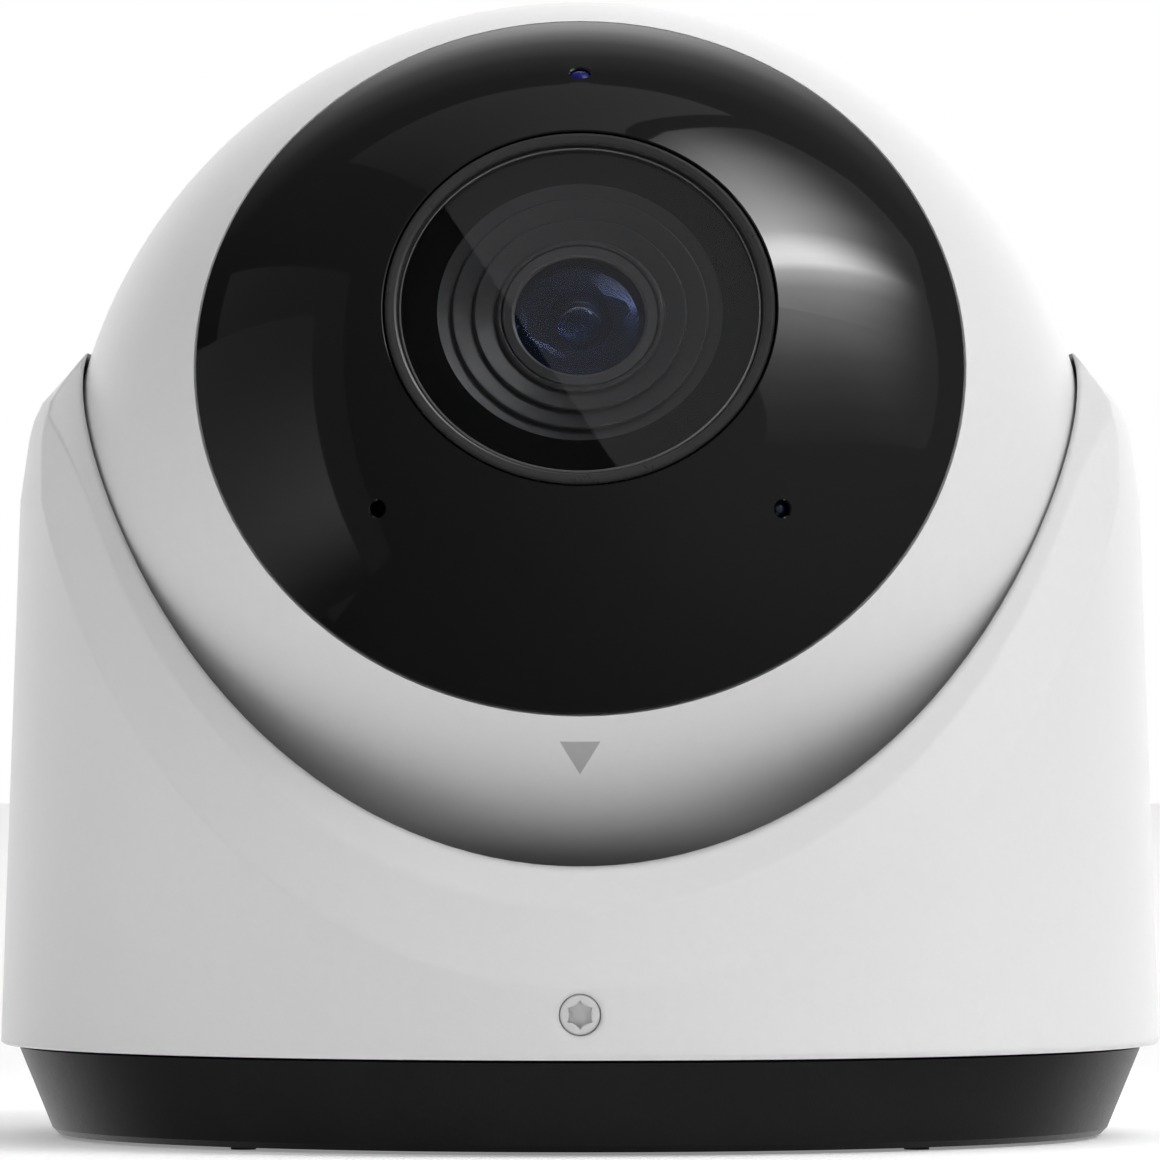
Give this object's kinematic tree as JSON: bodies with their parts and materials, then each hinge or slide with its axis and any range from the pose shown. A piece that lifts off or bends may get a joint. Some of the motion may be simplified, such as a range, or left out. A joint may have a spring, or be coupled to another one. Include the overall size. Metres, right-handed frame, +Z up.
{
  "type": "security camera",
  "caption": "Turret security camera: a ball with a black infrared face and fixed lens turns and tilts in a round white housing that twists onto a dark mounting base.",
  "frame": {"origin": "centre of the housing axis on the plane the feet stand on", "axes": "+Z up out of the mounting surface, -Y the way the camera faces at rest, +X to the right seen from the front"},
  "size_m": [0.1124, 0.1124, 0.11],
  "materials": {
    "white_paint": "white powder coat, satin",
    "white_ball": "white, satin gloss",
    "dark_base": "dark grey, fine texture",
    "black_face": "gloss black, passes infrared",
    "bezel_black": "satin black",
    "hood_black": "matte black",
    "lens_metal": "black anodised",
    "glass": "coated glass",
    "lens_glass": "blue antireflection coating",
    "mask_black": "printed black border",
    "stop_black": "flat black lining",
    "glass_red": "infrared cut coating",
    "rubber_black": "matte",
    "rubber_grey": "matte",
    "acetal": "black acetal",
    "steel": "plain stainless steel",
    "screw_white": "white coated steel",
    "brass": "turned",
    "aluminium": "die cast",
    "board_green": "solder mask",
    "chip_black": "moulded",
    "sensor": "ceramic package with glass",
    "led": "clear epoxy",
    "light_pipe": "clear, blue tint",
    "dark_lens": "dark blue",
    "connector": "nylon",
    "transformer": "moulded, glossy tape",
    "mark_grey": "grey",
    "copper": "enamelled copper wire",
    "seat_grey": "silicone pad"
  },
  "bodies": {
    "base": {"mounting_base": "dark_base", "base_feet": "rubber_black", "cable_grommet": "rubber_black"},
    "housing": {"housing_cover": "white_paint", "lock_insert": "brass", "chassis_ring": "aluminium", "chassis_screws": "steel", "friction_ring": "rubber_black"},
    "lock_screw": {"lock_screw": "screw_white"},
    "pan_ring": {"seat_ring": "acetal"},
    "cable_swivel": {"cable_gland": "acetal", "gland_seal": "rubber_black", "gland_nut": "acetal"},
    "eyeball": {"front_shell": "white_ball", "direction_mark": "mark_grey", "rear_shell": "white_ball", "shell_seal": "rubber_grey", "shell_screws": "steel", "face_cap": "black_face", "cap_gasket": "rubber_black", "lens_bezel": "bezel_black", "lens_window": "glass", "lens_hood": "hood_black", "lens_barrel": "stop_black", "lens_lock_ring": "lens_metal", "lens_front_glass": "lens_glass", "lens_middle_glass": "lens_glass", "window_mask": "mask_black", "lens_rear_glass": "glass", "lens_holder": "acetal", "ircut_coil": "copper", "image_sensor": "sensor", "sensor_board": "board_green", "led_board": "board_green", "ir_leds": "led", "led_standoffs": "brass", "heat_bracket": "aluminium", "main_board": "board_green", "processor": "chip_black", "thermal_pad": "seat_grey", "poe_transformer": "transformer", "harness_header": "connector", "board_screws": "steel", "reset_switch": "steel", "light_sensor": "dark_lens", "microphone": "mask_black", "status_light_pipe": "light_pipe"},
    "ircut_slider": {"ircut_frame": "acetal", "ircut_filter_glass": "glass_red", "ircut_clear_glass": "glass", "ircut_magnet": "steel"},
    "reset_button": {"reset_button": "rubber_black"}
  },
  "joints": [
    {"name": "housing_twist", "type": "hinge", "parent": "base", "child": "housing", "pos_m": [0, 0, 0.012], "axis": [0, 0, 1], "range_deg": [0, 34]},
    {"name": "lock_screw_slide", "type": "slide", "parent": "housing", "child": "lock_screw", "axis": [0, -1, 0], "range_m": [0, 0.003]},
    {"name": "ball_pan", "type": "hinge", "parent": "housing", "child": "pan_ring", "pos_m": [0, 0, 0.06], "axis": [0, 0, 1], "range_deg": [-180, 180]},
    {"name": "ball_tilt", "type": "hinge", "parent": "pan_ring", "child": "cable_swivel", "pos_m": [0, 0, 0.06], "axis": [-1, 0, 0], "range_deg": [-18, 65]},
    {"name": "ball_roll", "type": "hinge", "parent": "cable_swivel", "child": "eyeball", "pos_m": [0, 0, 0.06], "axis": [0, -0.9107, 0.4131], "range_deg": [-175, 175]},
    {"name": "ircut_slide", "type": "slide", "parent": "eyeball", "child": "ircut_slider", "axis": [1, 0, 0], "range_m": [0, 0.0075]},
    {"name": "reset_press", "type": "slide", "parent": "eyeball", "child": "reset_button", "axis": [0, -0.9107, 0.4131], "range_m": [0, 0.0003], "stiffness_N_per_m": 1500, "springref_m": -0.0003}
  ]
}
